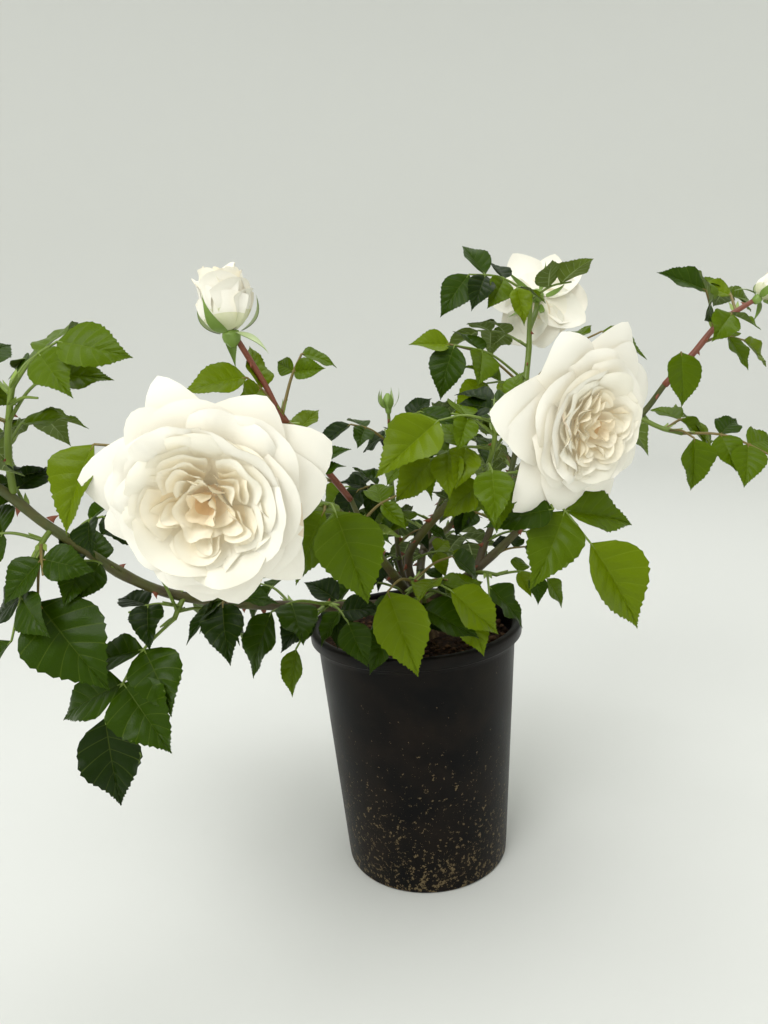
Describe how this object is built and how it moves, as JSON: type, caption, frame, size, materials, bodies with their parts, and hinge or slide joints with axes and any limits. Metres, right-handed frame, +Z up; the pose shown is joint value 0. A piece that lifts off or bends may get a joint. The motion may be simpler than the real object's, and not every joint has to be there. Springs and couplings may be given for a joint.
{
  "type": "potted rose bush",
  "caption": "Rose bush in a round black nursery pot, with large double white blooms, a half-open bud and glossy green compound leaves on thorny green canes.",
  "frame": {"origin": "centre of the pot's flat underside", "axes": "+Z up the pot's axis; -Y is the side with the nearest bloom, +X to the right when facing that side"},
  "size_m": [0.7046, 0.4906, 0.5264],
  "materials": {
    "pot_plastic": "black moulded plastic with a soft sheen",
    "compost": "coarse damp compost",
    "bark": "rough bark",
    "cane": "smooth green bark with thorns",
    "foliage": "glossy leaves and soft petals"
  },
  "bodies": {
    "root": {"pot": "pot_plastic", "soil": "compost", "trunk": "bark", "cane_back": "cane", "cane_back_left": "cane", "cane_centre": "cane", "cane_front": "cane", "cane_left": "cane", "cane_right": "cane", "bough_back_right": "cane", "bough_bud": "cane", "bough_middle": "cane", "bough_top": "cane", "spray_back": "foliage", "spray_back_base": "foliage", "spray_back_left": "foliage", "spray_back_low": "foliage", "spray_back_right": "foliage", "spray_bud": "foliage", "spray_centre": "foliage", "spray_hero": "foliage", "spray_left_end": "foliage", "spray_left_hanging": "foliage", "spray_left_high": "foliage", "spray_left_low": "foliage", "spray_low_front": "foliage", "spray_low_right": "foliage", "spray_middle": "foliage", "spray_right_bloom": "foliage", "spray_right_high": "foliage", "spray_right_low": "foliage", "spray_rim": "foliage", "spray_top": "foliage", "spray_top_bloom": "foliage"}
  },
  "joints": []
}
